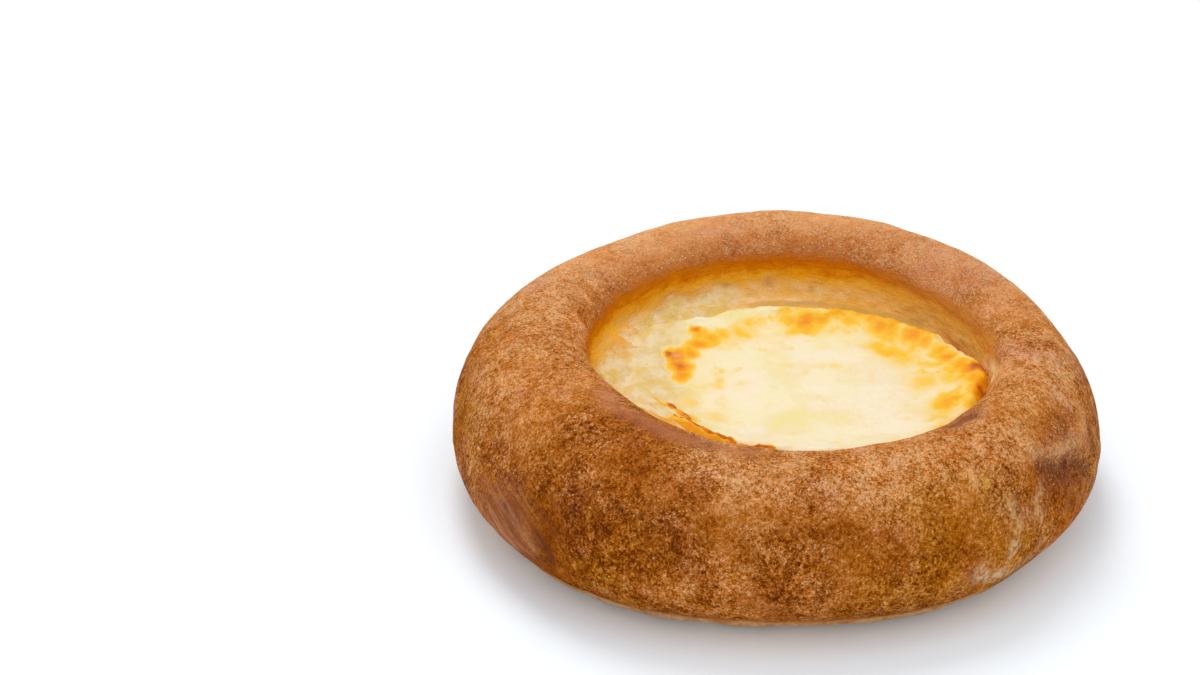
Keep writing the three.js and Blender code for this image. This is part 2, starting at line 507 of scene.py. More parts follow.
crust_group = weigh(dough, "crust", on_crust)
for number, relief in enumerate(crust_relief):
    roughen(dough, "crust_lumps_%d" % number, relief, crust_group)
roughen(dough, "torn_wall", wall_relief, weigh(dough, "wall", on_wall))
paint("crease_shade_lines")
paint("ridge_highlight_and_light_lines")
sunk_lines = {name: sunk(lines[name], depth) for name, (_, depth) in creases.items()}
for name, (width, depth) in creases.items():
    displace(dough, depth, weigh(dough, name, lambda point: near_line(point, lines[name], width)))
foot_rim_group = weigh(dough, "foot_rim", on_foot_rim)
displace(dough, foot_rim["out"], foot_rim_group)
roughen(dough, "uneven_foot", foot_rim_relief, foot_rim_group)
roughen(dough, "rough_curd", curd_relief, weigh(dough, "ledge", on_left_ledge), "Z")
dough.vertex_groups.clear()
for name in ("flour_lines", "dusty_lines", "brim_sheen_and_notch_shade"):
    paint(name)


def add(tree, kind, inputs=None, **settings):
    """Adds a node, with its settings, and a value or a link for each input named."""
    new = tree.nodes.new(kind)
    for name, value in settings.items():
        setattr(new, name, value)
    for name, value in (inputs or {}).items():
        connect(new.inputs[name], value)
    return new


def node_group(name, vectors, numbers, result):
    """An empty shader node group with named inputs and one result, as its tree, inputs and outputs."""
    group = bpy.data.node_groups.new(name, "ShaderNodeTree")
    for labels, kind in ((vectors, "NodeSocketVector"), (numbers, "NodeSocketFloat")):
        for label in labels:
            group.interface.new_socket(label, in_out="INPUT", socket_type=kind)
    group.interface.new_socket(result, in_out="OUTPUT", socket_type="NodeSocketFloat")
    return group, group.nodes.new("NodeGroupInput").outputs, group.nodes.new("NodeGroupOutput").inputs


def tree_of(values):
    """The node tree that the first socket among some values belongs to."""
    return next(value.id_data for value in values if isinstance(value, bpy.types.NodeSocket))


def worked_out(kind, operation, values):
    """The outputs of a node that works out one operation on values."""
    node = add(tree_of(values), kind, operation=operation)
    for socket, value in zip(node.inputs, values):
        connect(socket, value)
    return node.outputs


def maths(operation, *values):
    """A number worked out from numbers."""
    return worked_out("ShaderNodeMath", operation, values)[0]


def times(mask, amount):
    return maths("MULTIPLY", mask, amount)


def plus(*values):
    """The sum of masks and numbers."""
    total = values[0]
    for value in values[1:]:
        total = maths("ADD", total, value)
    return total


def vector_maths(operation, *values):
    """A vector worked out from vectors."""
    return worked_out("ShaderNodeVectorMath", operation, values)["Vector"]


def measured(operation, *values):
    """A length, a distance or a dot product of vectors."""
    return worked_out("ShaderNodeVectorMath", operation, values)["Value"]


def share(value, start, end):
    """A smooth step from 0 to 1 as the value goes from start to end."""
    node = add(value.id_data, "ShaderNodeMapRange", interpolation_type="SMOOTHSTEP")
    for socket, number in zip(node.inputs, (value, start, end, 0.0, 1.0)):
        connect(socket, number)
    return node.outputs[0]


def blend(mask, under, colour, mode="MIX"):
    """A colour laid over another by a mask. A Mix node has its colours in inputs 6 and 7 and output 2."""
    node = add(mask.id_data, "ShaderNodeMix", data_type="RGBA", blend_type=mode)
    for socket, value in ((node.inputs[0], mask), (node.inputs[6], under), (node.inputs[7], colour)):
        connect(socket, value)
    return node.outputs[2]


def over(mask, under, colour, amount=1.0, mode="MIX"):
    """A colour laid over what is there, by a mask and an amount."""
    return blend(times(mask, amount), under, colour, mode)


def noise(vector, per_metre, detail, roughness, seed=None):
    """A cloudy value round 0.5, arranged otherwise where a seed is given."""
    inputs = {"Vector": vector, "Scale": per_metre, "Detail": detail, "Roughness": roughness}
    settings = {}
    if seed is not None:
        inputs["W"] = seed
        settings["noise_dimensions"] = "4D"
    return add(vector.id_data, "ShaderNodeTexNoise", inputs, **settings).outputs[0]


def combined(**axes):
    """A vector from numbers along the axes named."""
    return add(tree_of(axes.values()), "ShaderNodeCombineXYZ", axes).outputs[0]


def placed(group, **inputs):
    """The result of a node group placed where its inputs are."""
    node = add(tree_of(inputs.values()), "ShaderNodeGroup", node_tree=group)
    for name, value in inputs.items():
        connect(node.inputs[name.replace("_", " ")], value)
    return node.outputs[0]


# Soft patches of any size, as baking leaves them
patch_roughness = 0.55
patches, patch_in, patch_out = node_group(
    "patches", ("Vector",), ("Per Metre", "Detail", "Seed", "Start", "End"), "Mask"
)
patch_noise = noise(
    patch_in["Vector"], patch_in["Per Metre"], patch_in["Detail"], patch_roughness, patch_in["Seed"]
)
connect(patch_out["Mask"], share(patch_noise, patch_in["Start"], patch_in["End"]))


def patched(vector, per_metre, detail, seed, start, end):
    """1 on the patches, 0 between them."""
    return placed(patches, Vector=vector, Per_Metre=per_metre, Detail=detail, Seed=seed, Start=start, End=end)


# A spot round one place, with a ragged edge
ragged_noise = (420.0, 3.0, 0.6)
spot, spot_in, spot_out = node_group("spot", ("Vector", "Place"), ("Radius", "Ragged", "Soft"), "Mask")
spot_noise = noise(spot_in["Vector"], *ragged_noise)
spot_away = measured("DISTANCE", spot_in["Vector"], spot_in["Place"])
spot_wander = times(maths("SUBTRACT", spot_noise, 0.5), spot_in["Ragged"])
spot_distance = plus(spot_away, spot_wander)
spot_inner = times(spot_in["Radius"], maths("SUBTRACT", 1.0, spot_in["Soft"]))
connect(spot_out["Mask"], share(spot_distance, spot_in["Radius"], spot_inner))


def spotted(vector, middle, radius, ragged, soft):
    """1 in the middle of the spot, 0 outside it."""
    return placed(spot, Vector=vector, Place=middle, Radius=radius, Ragged=ragged, Soft=soft)


# How far a place lies from a straight piece of a line
line_core = 0.25
segment, segment_in, segment_out = node_group("segment", ("Vector", "Start", "End"), (), "Distance")
segment_axis = vector_maths("SUBTRACT", segment_in["End"], segment_in["Start"])
segment_away = vector_maths("SUBTRACT", segment_in["Vector"], segment_in["Start"])
segment_along = add(
    segment,
    "ShaderNodeMath",
    {
        0: measured("DOT_PRODUCT", segment_away, segment_axis),
        1: measured("DOT_PRODUCT", segment_axis, segment_axis),
    },
    operation="DIVIDE",
    use_clamp=True,
).outputs[0]
segment_foot = add(
    segment, "ShaderNodeVectorMath", {0: segment_axis, "Scale": segment_along}, operation="SCALE"
).outputs[0]
connect(segment_out["Distance"], measured("DISTANCE", segment_away, segment_foot))


def line_mask(vector, line, width, wandering):
    """1 along a line of places, falling to 0 at the width, with an edge that wanders."""
    nearest = placed(segment, Vector=vector, Start=line[0], End=line[1])
    for start, end in zip(line[1:], line[2:]):
        nearest = maths("MINIMUM", nearest, placed(segment, Vector=vector, Start=start, End=end))
    return share(plus(nearest, wandering), width, line_core * width)


def seen_from(place, middle, size=(1, 1)):
    """Places seen from above round a middle, in units of a size: their axes and how far away they are."""
    inputs = {"Vector": place, "Location": (middle.x, middle.y, 0), "Scale": (*size, 1)}
    centred = add(place.id_data, "ShaderNodeMapping", inputs, vector_type="TEXTURE").outputs[0]
    axes = add(place.id_data, "ShaderNodeSeparateXYZ", {"Vector": centred}).outputs
    return axes, measured("LENGTH", combined(X=axes["X"], Y=axes["Y"]))


def through(value, stops):
    """The colour that a share has in a row of stops."""
    node = add(value.id_data, "ShaderNodeValToRGB", {"Fac": value})
    for number, (stop, colour) in enumerate(stops):
        point = node.color_ramp.elements[number] if number < 2 else node.color_ramp.elements.new(stop)
        point.position = stop
        point.color = (*colour, 1)
    return node.outputs["Color"]


# The colours that dough goes through as it bakes, from a share of 0 to 1
baking = (
    (0.00, (1.00, 0.520, 0.235)),
    (0.15, (0.91, 0.405, 0.145)),
    (0.30, (0.75, 0.276, 0.070)),
    (0.45, (0.60, 0.189, 0.027)),
    (0.60, (0.48, 0.134, 0.010)),
    (0.75, (0.34, 0.078, 0.003)),
    (0.90, (0.21, 0.043, 0.002)),
    (1.00, (0.14, 0.026, 0.001)),
)
# The colours that it has down the wall of the opening, from the crust to the pale crumb
paling = (
    (0.00, (0.58, 0.185, 0.028)),
    (0.26, (0.62, 0.178, 0.003)),
    (0.44, (0.70, 0.218, 0.002)),
    (0.57, (0.84, 0.340, 0.007)),
    (0.69, (0.86, 0.405, 0.033)),
    (0.80, (0.80, 0.400, 0.072)),
    (0.90, (0.81, 0.460, 0.150)),
    (1.00, (0.88, 0.610, 0.330)),
)
golden_tint = (1.00, 1.080, 0.550, 1)
rosy_tint = (0.92, 0.860, 1.250, 1)
mauve = (0.50, 0.195, 0.105, 1)
rosy_wrinkle = (0.60, 0.245, 0.125, 1)
ridge_tan = (0.98, 0.500, 0.210, 1)
crease_shade_purple = (0.17, 0.045, 0.026, 1)
flour_tan = (0.90, 0.520, 0.210, 1)
flour_and_glint_white = (0.95, 0.700, 0.440, 1)
foot_highlight_tan = (0.92, 0.530, 0.240, 1)
grain_yellow = (0.90, 0.430, 0.070, 1)
apron_cream = (0.80, 0.620, 0.350, 1)
apron_yellow = (0.74, 0.510, 0.130, 1)
crevice_shade_olive = (0.46, 0.280, 0.060, 1)
tip_cream = (0.94, 0.600, 0.260, 1)
wall_tan = (0.66, 0.320, 0.085, 1)
wall_stain = (0.50, 0.230, 0.070, 1)

# Where the crust baked darker (above 0) or stayed lighter: (place, radius, share)
baked_areas = (
    ((-0.0280, -0.0385, 0.0290), 0.0190, 0.14),
    ((-0.0420, -0.0380, 0.0110), 0.0200, 0.12),
    ((-0.0300, -0.0470, 0.0180), 0.0160, 0.07),
    # These two darken the hollow under the fold at the right: painted shade
    ((0.0480, -0.0280, 0.0160), 0.0090, 0.07),
    ((0.0457, -0.0305, 0.0195), 0.0065, 0.16),
    ((0.0271, -0.0488, 0.0155), 0.0050, 0.12),
    ((-0.0012, -0.0546, 0.0155), 0.0080, 0.10),
    ((0.0087, -0.0525, 0.0211), 0.0030, 0.12),
    ((-0.0141, -0.0464, 0.0279), 0.0070, 0.10),
    ((-0.0160, -0.0483, 0.0257), 0.0070, 0.08),
    ((-0.0170, -0.0522, 0.0185), 0.0060, 0.08),
    ((0.0120, -0.0430, 0.0292), 0.0150, -0.07),
    ((0.0430, -0.0120, 0.0290), 0.0140, -0.08),
    ((0.0360, 0.0200, 0.0290), 0.0150, -0.05),
    ((0.0330, -0.0460, 0.0150), 0.0110, -0.10),
    ((0.0120, -0.0491, 0.0258), 0.0120, -0.06),
    ((-0.0302, -0.0434, 0.0251), 0.0070, -0.10),
    ((0.0448, -0.0255, 0.0256), 0.0055, 0.16),
    ((0.0432, -0.0277, 0.0259), 0.0045, 0.10),
    ((0.0345, -0.0310, 0.0291), 0.0070, 0.08),
)
# Where light specks crowd together (above 0) or the crust stayed smooth: (place, radius, share)
speckled_areas = (
    ((-0.0324, -0.0431, 0.0240), 0.0080, 0.06),
    ((-0.0236, -0.0493, 0.0213), 0.0050, 0.06),
    ((-0.0120, -0.0440, 0.0290), 0.0120, 0.04),
    ((0.0330, -0.0440, 0.0220), 0.0080, 0.04),
    ((-0.0430, -0.0385, 0.0115), 0.0130, -0.14),
    ((-0.0244, -0.0512, 0.0149), 0.0100, -0.05),
    ((0.0480, -0.0300, 0.0130), 0.0110, -0.10),
    ((0.0461, -0.0278, 0.0222), 0.0060, 0.12),
)
# Where the brown of the crest, the smooth wrinkled side and tints lie: (place, radius, ragged, soft)
crust_spots = {
    "brown_crest": ((-0.0280, -0.0385, 0.0290), 0.0190, 0.010, 0.8),
    "wrinkled": ((-0.0430, -0.0385, 0.0115), 0.0150, 0.008, 0.8),
    "golden_right": ((0.0225, -0.0495, 0.0200), 0.0150, 0.014, 0.9),
    "golden_left": ((-0.0395, -0.0420, 0.0120), 0.0110, 0.010, 0.9),
    "rosy_right": ((0.0500, -0.0215, 0.0140), 0.0170, 0.008, 0.9),
    "rosy_left": ((-0.0475, -0.0335, 0.0100), 0.0130, 0.006, 0.9),
}
# How ragged, in metres, and how soft the spots of one kind are
area_edge = (0.012, 0.9)
speckled_edge = (0.008, 0.9)
sugar_edge = (0.0012, 0.7)
stain_edge = (0.003, 0.9)
# The noises of the crust: (how many lumps in a metre, detail, roughness, which)
crust_noises = {
    "grain": (330.0, 5.0, 0.86),
    "fine_grain": (1700.0, 3.0, 0.90),
    "specks": (1900.0, 3.0, 0.75, 4.0),
    "wander": (190.0, 4.0, 0.6),
}
crystals_per_metre = 1500.0
# The patches of the crust: (how many in a metre, detail, which, where they start, where they are full)
crust_patches = {
    "small": (420.0, 3.0, 3.0, 0.38, 0.62),
    "speckled": (85.0, 3.0, 12.0, 0.40, 0.60),
    "wide_mottles": (42.0, 2.0, 1.0, 0.38, 0.62),
    "close_mottles": (150.0, 3.0, 2.0, 0.38, 0.62),
    "wide_crowds": (120.0, 3.0, 11.0, 0.38, 0.62),
    "close_crowds": (380.0, 2.0, 13.0, 0.38, 0.62),
    "streaks": (900.0, 3.0, 7.0, 0.36, 0.64),
    "golden": (62.0, 4.0, 14.0, 0.46, 0.62),
    "rosy": (75.0, 4.0, 15.0, 0.50, 0.64),
    "wrinkles": (900.0, 3.0, 21.0, 0.40, 0.60),
    "flour": (900.0, 3.0, 5.0, 0.42, 0.62),
}
curd_crumbs = (330.0, 3.0, 9.0, 0.42, 0.62)
# Where zones of the crust start and where they are full: by height, by the x or y of a place or by how far it
# is from the middle of the opening, and the last four by a noise, a crystal or the small patches
zones = {
    "top": (0.0190, 0.0285),
    "far_side": (-0.010, 0.040),
    "sparkling": (-0.006, 0.020),
    "opening": (0.0400, 0.0385),
    "above_base": (0.004, 0.007),
    "wall": (0.0276, 0.0254),
    "wall_right": (-0.012, 0.026),
    "wall_left": (-0.004, -0.020),
    "wall_far_right": (0.012, 0.030),
    "brim": (0.0392, 0.0370),
    "brim_far": (0.0, 0.015),
    "brim_left": (0.030, 0.012),
    "slope": (0.0450, 0.0395),
    "slope_far": (0.002, 0.020),
    "foot_edge_highlight": (0.0046, 0.0024),
    "off_base": (0.0001, 0.0006),
    "ledge": (0.0218, 0.0205),
    "ledge_left": (-0.004, -0.014),
    "crevice_shade": (0.0225, 0.0215),
    "specks": (0.57, 0.67),
    "chosen_crystals": (0.46, 0.72),
    "crystal": (0.42, 0.16),
    "between_small": (0.9, 0.3),
}
paling_heights = {"From Min": 0.0274, "From Max": 0.0206}
# The streaks of the wall are long round it, and a little drawn out from its middle
streak_scales = {"round": 0.009, "outward": 0.6}
crust_bumps = {"Strength": 0.9, "Distance": 0.0005}
# The painted shade of the crevice, by how far a place is from the filling's middle, as a share of its size
crevice_shade_zones = {"out": (1.10, 1.02), "far": (0.30, 0.60), "left": (0.80, 0.55)}
# Crisp lines of painted shade in the creases, each with its width, and marks, a painted highlight on a
# wrinkle and
# painted shade in two folds: (colour, width, share)
line_wandering = {"wide": 0.0022, "fine": 0.0008}
crisp_grooves = {"fold_groove": 0.0009, "brim_notch": 0.0009}
crisp_marks = {
    "upper_wrinkle": (ridge_tan, 0.0004, 0.22),
    "upper_fold": (crease_shade_purple, 0.0008, 0.60),
    "lower_fold": (crease_shade_purple, 0.0006, 0.50),
}
# The wrinkles of the lower left side run along the first of these directions, each with its scale
wrinkle_axes = {
    "X": ((0.518, -0.729, -0.447), 0.10),
    "Y": ((0.260, -0.360, 0.896), 1.0),
    "Z": ((-0.814, -0.580, 0.003), 1.0),
}
# The wall is painted darker in a line of shade behind the filling's far edge, darkens in a few spots, and is
# palest by its right end
crevice_shade_line = (
    (-0.0029, 0.0280, 0.0196),
    (0.0022, 0.0286, 0.0195),
    (0.0096, 0.0289, 0.0193),
    (0.0167, 0.0263, 0.0195),
    (0.0237, 0.0228, 0.0199),
    (0.0270, 0.0201, 0.0202),
)
crevice_shade_width = 0.0010
wall_stains = (
    ((-0.0076, 0.0319, 0.0215), 0.0012),
    ((0.0002, 0.0332, 0.0218), 0.0020),
    ((0.0083, 0.0319, 0.0207), 0.0013),
)
tip_width = 0.0024
tip_strip = (
    (0.0369, 0.0020, 0.0215),
    (0.0369, -0.0012, 0.0230),
    (0.0367, -0.0056, 0.0245),
    (0.0364, -0.0100, 0.0262),
)
sugar_grains = (
    ((0.0316, -0.0421, 0.0246), 0.0010),
    ((0.0505, -0.0225, 0.0175), 0.0010),
    ((0.0410, -0.0257, 0.0284), 0.0009),
)

dough_tree, dough_shader, dough_look = material("browned_crust", {"Roughness": 0.5})
place = add(dough_tree, "ShaderNodeTexCoord").outputs["Object"]
place_axes = add(dough_tree, "ShaderNodeSeparateXYZ", {"Vector": place}).outputs
height = place_axes["Z"]


def crust_mask(name):
    """The patches of one name on the crust."""
    return patched(place, *crust_patches[name])


def crust_spot(name):
    """The spot of one name on the crust."""
    return spotted(place, *crust_spots[name])


def zone(value, name):
    """The zone of one name by a value."""
    return share(value, *zones[name])


def drawn(name):
    """How near the painted lines of one name are."""
    return add(dough_tree, "ShaderNodeAttribute", attribute_name=name).outputs["Fac"]


def round_zero(noisy):
    """A noise that is as often below 0 as above."""
    return plus(noisy, -0.5)


# How far the crust is baked: less on the top of the ring, partly a rosy bloom and partly painted light, and
# least on its far side, painted lighter where it faces the lamps, with patches of every size down to a fine
# grain. Light specks like grains of sand, some of them painted glints, crowd together in clumps.
on_top = zone(height, "top")
top_bloom_and_light = times(on_top, plus(1.0, times(crust_spot("brown_crest"), -0.85)))
# The far side of the top is painted lighter: painted light where it faces the lamps
far_side = times(zone(place_axes["Y"], "far_side"), on_top)
sheen_and_notch_shade = drawn("brim_sheen_and_notch_shade")
grain = noise(place, *crust_noises["grain"])
fine_grain = noise(place, *crust_noises["fine_grain"])
small = crust_mask("small")
speckled = crust_mask("speckled")
wrinkled = crust_spot("wrinkled")
grain_share = plus(
    0.75, times(speckled, 0.45), times(far_side, -0.42), times(sheen_and_notch_shade, -0.35), times(wrinkled, -0.55)
)
grains = plus(times(round_zero(grain), 1.7), times(round_zero(fine_grain), 2.2))
mottles = plus(times(crust_mask("wide_mottles"), 0.07), times(crust_mask("close_mottles"), 0.12))
baked = plus(
    0.51,
    times(mottles, plus(1.0, times(far_side, -0.5))),
    times(times(grains, -1.0), grain_share),
    times(top_bloom_and_light, -0.22),
    times(far_side, -0.18),
)
for middle, radius, amount in baked_areas:
    baked = plus(baked, times(spotted(place, middle, radius, *area_edge), amount))
crowding = plus(
    times(crust_mask("wide_crowds"), 0.06),
    times(crust_mask("close_crowds"), 0.05),
    times(on_top, 0.02),
    times(sheen_and_notch_shade, -0.06),
)
for middle, radius, amount in speckled_areas:
    crowding = plus(crowding, times(spotted(place, middle, radius, *speckled_edge), amount))
speck_noise = noise(place, *crust_noises["specks"])
specks = times(zone(plus(speck_noise, crowding), "specks"), grain_share)
# Light crystals in the colour, in part painted glints on tiny blisters of the crust
cells = {"Vector": place, "Scale": crystals_per_metre}
crystals = add(dough_tree, "ShaderNodeTexVoronoi", cells, feature="F1").outputs
chosen = zone(plus(times(crystals["Color"], 1.0), crowding), "chosen_crystals")
sparkle = times(zone(crystals["Distance"], "crystal"), chosen)
sparkle = times(sparkle, plus(grain_share, times(far_side, 0.5)))
sparkle = times(sparkle, zone(height, "sparkling"))
baked = plus(baked, times(specks, -0.15), times(sparkle, -0.40))

# Down the inside of the opening the crust is less and less baked, in streaks that run round the wall
opening_axes, away = seen_from(place, opening_middle)
round_angle = maths("ARCTAN2", opening_axes["Y"], opening_axes["X"])
streak_place = combined(
    X=times(round_angle, streak_scales["round"]),
    Y=times(away, streak_scales["outward"]),
    Z=opening_axes["Z"],
)
streaks = patched(streak_place, *crust_patches["streaks"])
wander = noise(place, *crust_noises["wander"])
level = plus(height, times(round_zero(wander), 0.0030), times(round_zero(streaks), 0.0006))
inside = times(zone(away, "opening"), zone(height, "above_base"))
in_opening = times(inside, zone(level, "wall"))
to_right = zone(opening_axes["X"], "wall_right")
to_left = zone(opening_axes["X"], "wall_left")
faded = add(dough_tree, "ShaderNodeMapRange", {"Value": level, **paling_heights}).outputs[0]
faded = plus(faded, times(round_zero(grain), 0.5))
crumb = plus(0.82, times(streaks, 0.12), times(small, 0.05), times(to_right, -0.10), times(to_left, 0.10))
faded = maths("MINIMUM", faded, crumb)
brim_browned = times(
    times(zone(away, "brim"), zone(place_axes["Y"], "brim_far")), zone(place_axes["X"], "brim_left")
)
far_slope = times(zone(away, "slope"), zone(place_axes["Y"], "slope_far"))
baked = plus(baked, times(brim_browned, 0.14), times(far_slope, 0.03))

# Golden and rosy patches lie over the browns, a painted mauve sheen where the crust is smooth, and painted
# shade in mauve at the notch of the brim
colour = over(far_slope, through(baked, baking), mauve, 0.24)
# Whiter crystals over the far side of the top: painted glints
colour = over(times(sparkle, far_side), colour, flour_and_glint_white, 0.5)
golden = plus(
    times(crust_mask("golden"), plus(1.0, times(on_top, -0.8))),
    times(crust_spot("golden_right"), 0.4),
    times(crust_spot("golden_left"), 0.6),
)
colour = over(golden, colour, golden_tint, 0.8, "MULTIPLY")
rosy = times(crust_mask("rosy"), plus(1.0, times(far_side, -0.6)))
colour = over(rosy, colour, rosy_tint, 0.7, "MULTIPLY")
rosy_right = times(crust_spot("rosy_right"), zone(small, "between_small"))
colour = over(rosy_right, colour, mauve, 0.42)
# Mauve over the smooth brim as a painted sheen, and over its notch as painted shade
colour = over(sheen_and_notch_shade, colour, mauve, 0.6)
wall_right = zone(opening_axes["X"], "wall_far_right")
colour = over(in_opening, colour, over(wall_right, through(faded, paling), wall_tan, 0.50))

# Wrinkles along the smooth lower left side, the fold at the right and the specks, with painted highlights on
# ridges and painted shade in creases
wrinkle_place = combined(
    **{axis: times(measured("DOT_PRODUCT", place, way), scale) for axis, (way, scale) in wrinkle_axes.items()}
)
wrinkles = patched(wrinkle_place, *crust_patches["wrinkles"])
rosy_left = times(crust_spot("rosy_left"), plus(0.35, times(wrinkles, 0.60)))
colour = over(rosy_left, colour, rosy_wrinkle)
# Darker between the wrinkles: painted shade in their troughs
colour = over(wrinkled, colour, crease_shade_purple, plus(0.34, times(wrinkles, -0.34)))
# Painted highlights on the fold's ridge and a wrinkle, and the light crack of the crust arc
light_share = plus(0.22, times(small, 0.18), times(specks, 0.4), times(sparkle, 0.9))
colour = over(drawn("ridge_highlight_and_light_lines"), colour, ridge_tan, light_share)
# Painted shade along the creases
crease_shade_share = plus(0.32, times(specks, -0.4), times(sparkle, -0.6), times(small, 0.18))
colour = over(drawn("crease_shade_lines"), colour, crease_shade_purple, crease_shade_share)
line_wander = times(round_zero(wander), line_wandering["wide"])
fine_wander = times(round_zero(grain), line_wandering["fine"])
# Crisp lines of painted shade at the bottom of the groove and in the notch
crisp_lines = maths(
    "MAXIMUM",
    *(line_mask(place, sunk_lines[name], width, line_wander) for name, width in crisp_grooves.items()),
)
colour = over(crisp_lines, colour, crease_shade_purple, plus(0.20, times(sparkle, -0.4), times(small, 0.25)))
for name, (crisp_colour, width, amount) in crisp_marks.items():
    colour = over(line_mask(place, sunk_lines[name], width, fine_wander), colour, crisp_colour, amount)

# The thin edge of the base is painted lighter, a painted highlight from the floor's light below, and flour
# and grains of sugar stuck to the crust in places
foot_edge_highlight = times(zone(height, "foot_edge_highlight"), zone(height, "off_base"))
foot_edge_highlight = times(foot_edge_highlight, plus(0.5, times(small, 0.5)))
colour = over(foot_edge_highlight, colour, foot_highlight_tan, 0.9)
flour_grain = crust_mask("flour")
colour = over(drawn("flour_lines"), colour, flour_tan, plus(0.08, times(flour_grain, 0.80)))
colour = over(drawn("dusty_lines"), colour, flour_and_glint_white, plus(0.10, times(flour_grain, 0.58)))
for middle, radius in sugar_grains:
    colour = over(spotted(place, middle, radius, *sugar_edge), colour, grain_yellow, 0.85)

# Curd was smeared over the left of the ledge, and in the crevice behind the filling the crumb is painted
# darker as shade
apron = times(times(zone(level, "ledge"), inside), zone(opening_axes["X"], "ledge_left"))
colour = over(apron, colour, blend(patched(place, *curd_crumbs), apron_cream, apron_yellow), 0.9)
filling_middle = ring_middle + well_shift
well_size = (well["oval"][0] * well["radius"], well["oval"][1] * well["radius"])
filling_axes, from_well = seen_from(place, filling_middle, well_size)
crevice_shade = times(
    times(share(plus(from_well, times(round_zero(wander), 0.12)), *crevice_shade_zones["out"]), inside),
    times(share(filling_axes["Y"], *crevice_shade_zones["far"]), zone(height, "crevice_shade")),
)
crevice_shade_share = times(share(filling_axes["X"], *crevice_shade_zones["left"]), 0.5)
colour = over(crevice_shade, colour, crevice_shade_olive, crevice_shade_share)
shade_behind_lip = line_mask(place, crevice_shade_line, crevice_shade_width, line_wander)
colour = over(shade_behind_lip, colour, crevice_shade_olive, plus(0.25, times(streaks, 0.40)))
for middle, radius in wall_stains:
    colour = over(spotted(place, middle, radius, *stain_edge), colour, wall_stain, 0.45)
colour = over(line_mask(place, tip_strip, tip_width, fine_wander), colour, tip_cream, 0.85)

connect(dough_shader.inputs["Base Color"], colour)
connect(dough_shader.inputs["Specular IOR Level"], times(specks, 0.12))
fine_crust = plus(
    times(grain, 1.4),
    times(fine_grain, 0.9),
    times(specks, 0.3),
    times(sparkle, 0.7),
    times(crisp_lines, -0.8),
)
fine_wall = plus(times(streaks, 0.35), times(grain, 1.2))
# A Mix node has its numbers in inputs 2 and 3 and output 0
sides = {0: in_opening, 2: fine_crust, 3: fine_wall}
fine_relief = add(dough_tree, "ShaderNodeMix", sides, data_type="FLOAT").outputs[0]
dough_bump = add(dough_tree, "ShaderNodeBump", {"Height": fine_relief, **crust_bumps})
connect(dough_shader.inputs["Normal"], dough_bump.outputs[0])
finish_mesh(dough, dough_look)
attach(dough, "root")
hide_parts("dough_ring")

# Curd filling
# Sweetened curd spooned into the hollow and baked: a thin skin, ivory in the middle and scorched orange along
# its raised edge, which shrank away from the wall. It sits in the hollow and nothing else holds it.
gap = 0.00035
lip = {"width": 0.0022, "height": 0.0220}
trough = {"radius": 0.0170, "height": 0.0202}
skin_middle_height = 0.0206
side_ring_height = 0.0165
filling_steps = 96
filling_corner_steps = 4
slope_steps = 6
skin_steps = 9
last_ring = 0.0006
under = well["floor"] + gap
side = well["radius"] - gap
lip_radius = side - lip["width"]
under_radius = side - well["corner"]
trough_edge = (trough["radius"], trough["height"])

filling_section = quarter(
    (under_radius, under + well["corner"]), (well["corner"], well["corner"]), -90, steps=filling_corner_steps
)
filling_section += [(side, side_ring_height), (side, ledge_height)]
filling_section += quarter(
    (lip_radius, ledge_height), (lip["width"], lip["height"] - ledge_height), 0, steps=filling_corner_steps
)
slope = ((lip_radius + trough["radius"]) / 2, trough["height"])
filling_section += bend((lip_radius, lip["height"]), slope, trough_edge, slope_steps)
swell = (trough["radius"] / 2, skin_middle_height)
filling_section += bend(trough_edge, swell, (last_ring, skin_middle_height), skin_steps)

under_middle = filling_middle + Vector((0, 0, under))
filling = start_disc("baked_curd", under_middle, under_radius, filling_steps)
filling_rings = [(radius, height - under, Vector((0, 0, 0))) for radius, height in filling_section]
extrude_rings(under_middle, under_radius, filling_rings)
bpy.ops.mesh.select_all(action="SELECT")
bpy.ops.transform.resize(value=(*well["oval"], 1), center_override=filling_middle)
bpy.ops.object.mode_set(mode="OBJECT")

# Where the edge crisped and curled up or sank, seen from the filling's own middle: (angle, lift, reach) in mm
lip_peaks = (
    (0, 1.4, 13),
    (80, 0.4, 18),
    (148, 0.5, 9),
    (175, -1.8, 14),
    (215, -1.6, 16),
    (210, 0.8, 6),
)
for angle, lift, reach in lip_peaks:
    peak = filling_middle + outward(angle) * lip_radius
    lip_group = weigh(
        filling,
        "lip",
        lambda point: smooth_step((point.z - ledge_height) / (trough["height"] - ledge_height))
        * smooth_step(1 - (point - peak).to_2d().length / (reach / 1000)),
    )
    displace(filling, lift / 1000, lip_group, "Z")
    filling.vertex_groups.clear()
shape_by_hand(filling)
smooth_mesh(filling)

